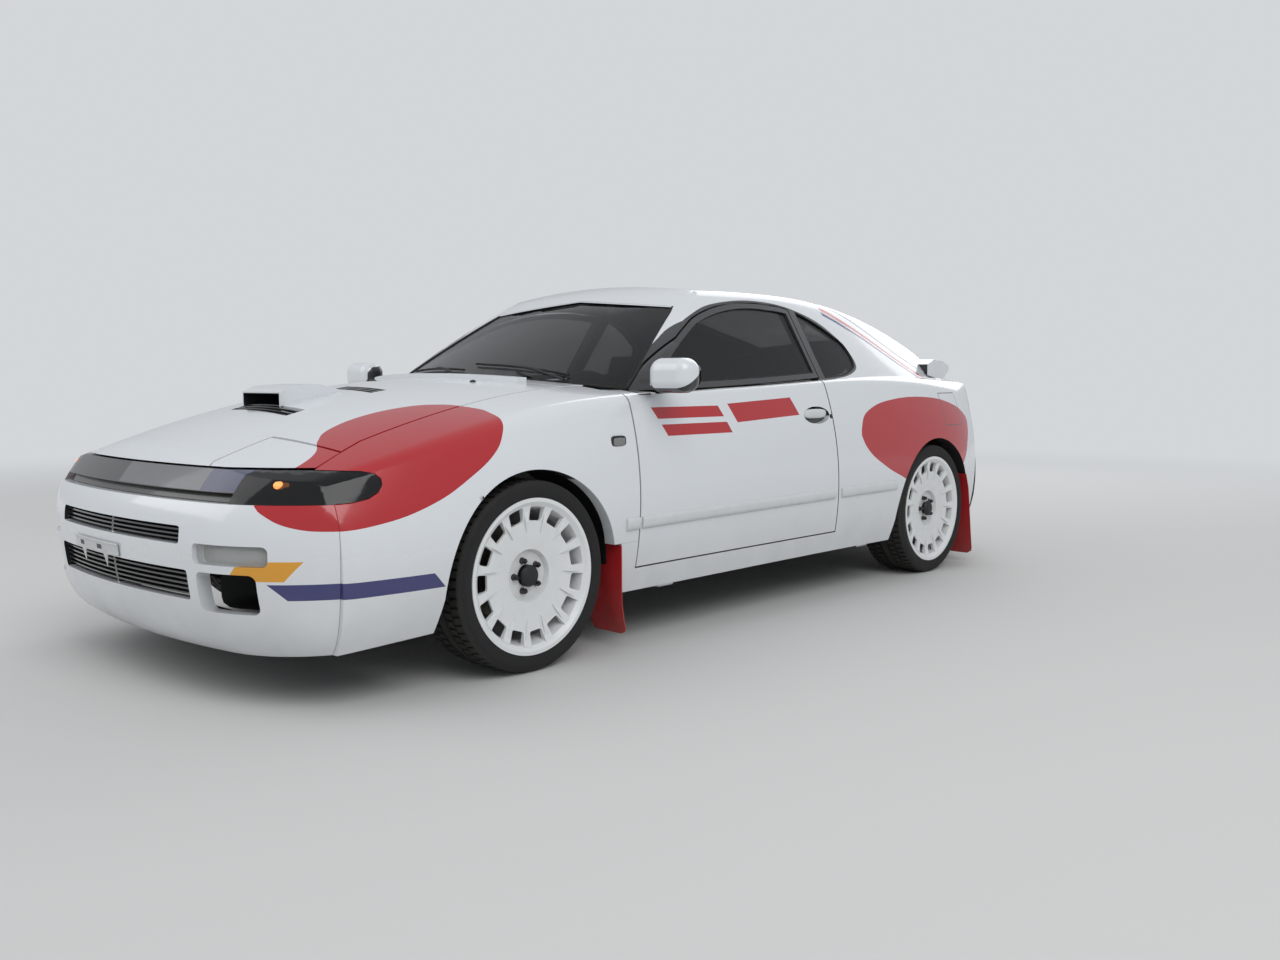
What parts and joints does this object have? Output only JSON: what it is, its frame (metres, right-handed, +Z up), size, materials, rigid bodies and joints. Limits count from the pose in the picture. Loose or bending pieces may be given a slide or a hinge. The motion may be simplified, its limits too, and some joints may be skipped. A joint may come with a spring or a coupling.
{
  "type": "rally car",
  "caption": "Two-door liftback coupe prepared as a rally car, with pop-up headlamps, bonnet scoop, white slotted wheels, mudflaps and a small rear spoiler.",
  "frame": {"origin": "on the ground under the middle of the car's length and width, midway between the axles", "axes": "+X forward along the car, +Y to its left, +Z up"},
  "size_m": [4.42, 2.008, 1.3054],
  "materials": {
    "paint_white": "gloss",
    "paint_black": "gloss",
    "paint_body": "satin",
    "trim_black": "matt",
    "glass": "clear",
    "lamp_smoked": "gloss",
    "lamp_clear": "clear",
    "lamp_red": "gloss",
    "mudflap_red": "matt",
    "steel_black": "painted",
    "seat_fabric": "woven",
    "alloy_engine": "cast",
    "exhaust_steel": "satin",
    "leather": "matt",
    "cast_iron": "rough",
    "tyre": "matt",
    "rim_white": "gloss",
    "brake_steel": "turned"
  },
  "bodies": {
    "body": {"front_fender_left": "paint_white", "front_fender_right": "paint_white", "side_frame_left": "paint_white", "side_frame_right": "paint_white", "corner_lamp_left": "lamp_smoked", "corner_lamp_right": "lamp_smoked", "fog_lamp_left": "lamp_clear", "fog_lamp_right": "lamp_clear", "quarter_window_left": "glass", "quarter_window_right": "glass", "tail_lamp_left": "lamp_red", "tail_lamp_right": "lamp_red", "front_mudflap_left": "mudflap_red", "front_mudflap_right": "mudflap_red", "rear_mudflap_left": "mudflap_red", "rear_mudflap_right": "mudflap_red", "front_seat_left": "seat_fabric", "front_seat_right": "seat_fabric", "nose_panel": "paint_black", "front_bumper": "paint_white", "cowl": "paint_white", "roof": "paint_white", "windscreen": "glass", "rear_panel": "paint_white", "rear_bumper": "paint_white", "floor_pan": "steel_black", "front_structure": "paint_body", "front_subframe": "steel_black", "engine_block": "alloy_engine", "dashboard": "trim_black", "rear_seat": "seat_fabric", "exhaust": "exhaust_steel", "propshaft": "steel_black", "rear_suspension": "steel_black"},
    "bonnet": {"bonnet": "paint_white"},
    "tailgate": {"tailgate": "paint_white", "tailgate_glass": "glass"},
    "door_left": {"door_left": "paint_white", "door_glass_left": "glass", "mirror_left": "paint_white"},
    "door_right": {"door_right": "paint_white", "door_glass_right": "glass", "mirror_right": "paint_white"},
    "headlamp_left": {"headlamp_left": "paint_white"},
    "headlamp_right": {"headlamp_right": "paint_white"},
    "knuckle_left": {"knuckle_left": "cast_iron"},
    "knuckle_right": {"knuckle_right": "cast_iron"},
    "steering_wheel": {"steering_wheel": "leather"},
    "front_wheel_left": {"front_tyre_left": "tyre", "front_rim_left": "rim_white", "front_brake_disc_left": "brake_steel"},
    "front_wheel_right": {"front_tyre_right": "tyre", "front_rim_right": "rim_white", "front_brake_disc_right": "brake_steel"},
    "rear_wheel_left": {"rear_tyre_left": "tyre", "rear_rim_left": "rim_white", "rear_brake_disc_left": "brake_steel"},
    "rear_wheel_right": {"rear_tyre_right": "tyre", "rear_rim_right": "rim_white", "rear_brake_disc_right": "brake_steel"}
  },
  "joints": [
    {"name": "bonnet_hinge", "type": "hinge", "parent": "body", "child": "bonnet", "pos_m": [0.87, 0, 0.919], "axis": [0, -1, 0], "range_deg": [0, 55]},
    {"name": "tailgate_hinge", "type": "hinge", "parent": "body", "child": "tailgate", "pos_m": [-0.645, 0, 1.297], "axis": [0, 1, 0], "range_deg": [0, 65]},
    {"name": "door_left_hinge", "type": "hinge", "parent": "body", "child": "door_left", "pos_m": [0.795, 0.861, 0.5], "axis": [0, 0, -1], "range_deg": [0, 68]},
    {"name": "door_right_hinge", "type": "hinge", "parent": "body", "child": "door_right", "pos_m": [0.795, -0.861, 0.5], "axis": [0, 0, 1], "range_deg": [0, 68]},
    {"name": "headlamp_left_hinge", "type": "hinge", "parent": "body", "child": "headlamp_left", "pos_m": [1.815, 0.5225, 0.765], "axis": [0, -1, 0], "range_deg": [0, 50]},
    {"name": "headlamp_right_hinge", "type": "hinge", "parent": "body", "child": "headlamp_right", "pos_m": [1.815, -0.5225, 0.765], "axis": [0, -1, 0], "range_deg": [0, 50]},
    {"name": "steer_left", "type": "hinge", "parent": "body", "child": "knuckle_left", "pos_m": [1.2625, 0.66, 0.2], "axis": [0, -0.2079, 0.9781], "range_deg": [-33, 33]},
    {"name": "steer_right", "type": "hinge", "parent": "body", "child": "knuckle_right", "pos_m": [1.2625, -0.66, 0.2], "axis": [0, 0.2079, 0.9781], "range_deg": [-33, 33]},
    {"name": "steering_wheel_turn", "type": "hinge", "parent": "body", "child": "steering_wheel", "pos_m": [0.47, 0.34, 0.77], "axis": [-0.9063, 0, 0.4226], "range_deg": [-500, 500]},
    {"name": "front_left_spin", "type": "hinge", "parent": "knuckle_left", "child": "front_wheel_left", "pos_m": [1.2625, 0.7375, 0.302], "axis": [0, 1, 0], "continuous": true},
    {"name": "front_right_spin", "type": "hinge", "parent": "knuckle_right", "child": "front_wheel_right", "pos_m": [1.2625, -0.7375, 0.302], "axis": [0, 1, 0], "continuous": true},
    {"name": "rear_left_spin", "type": "hinge", "parent": "body", "child": "rear_wheel_left", "pos_m": [-1.2625, 0.7325, 0.302], "axis": [0, 1, 0], "continuous": true},
    {"name": "rear_right_spin", "type": "hinge", "parent": "body", "child": "rear_wheel_right", "pos_m": [-1.2625, -0.7325, 0.302], "axis": [0, 1, 0], "continuous": true}
  ],
  "couplings": [
    {"joint": "steer_right", "follows": "steer_left", "ratio": 1},
    {"joint": "headlamp_right_hinge", "follows": "headlamp_left_hinge", "ratio": 1},
    {"joint": "steering_wheel_turn", "follows": "steer_left", "ratio": 15}
  ]
}
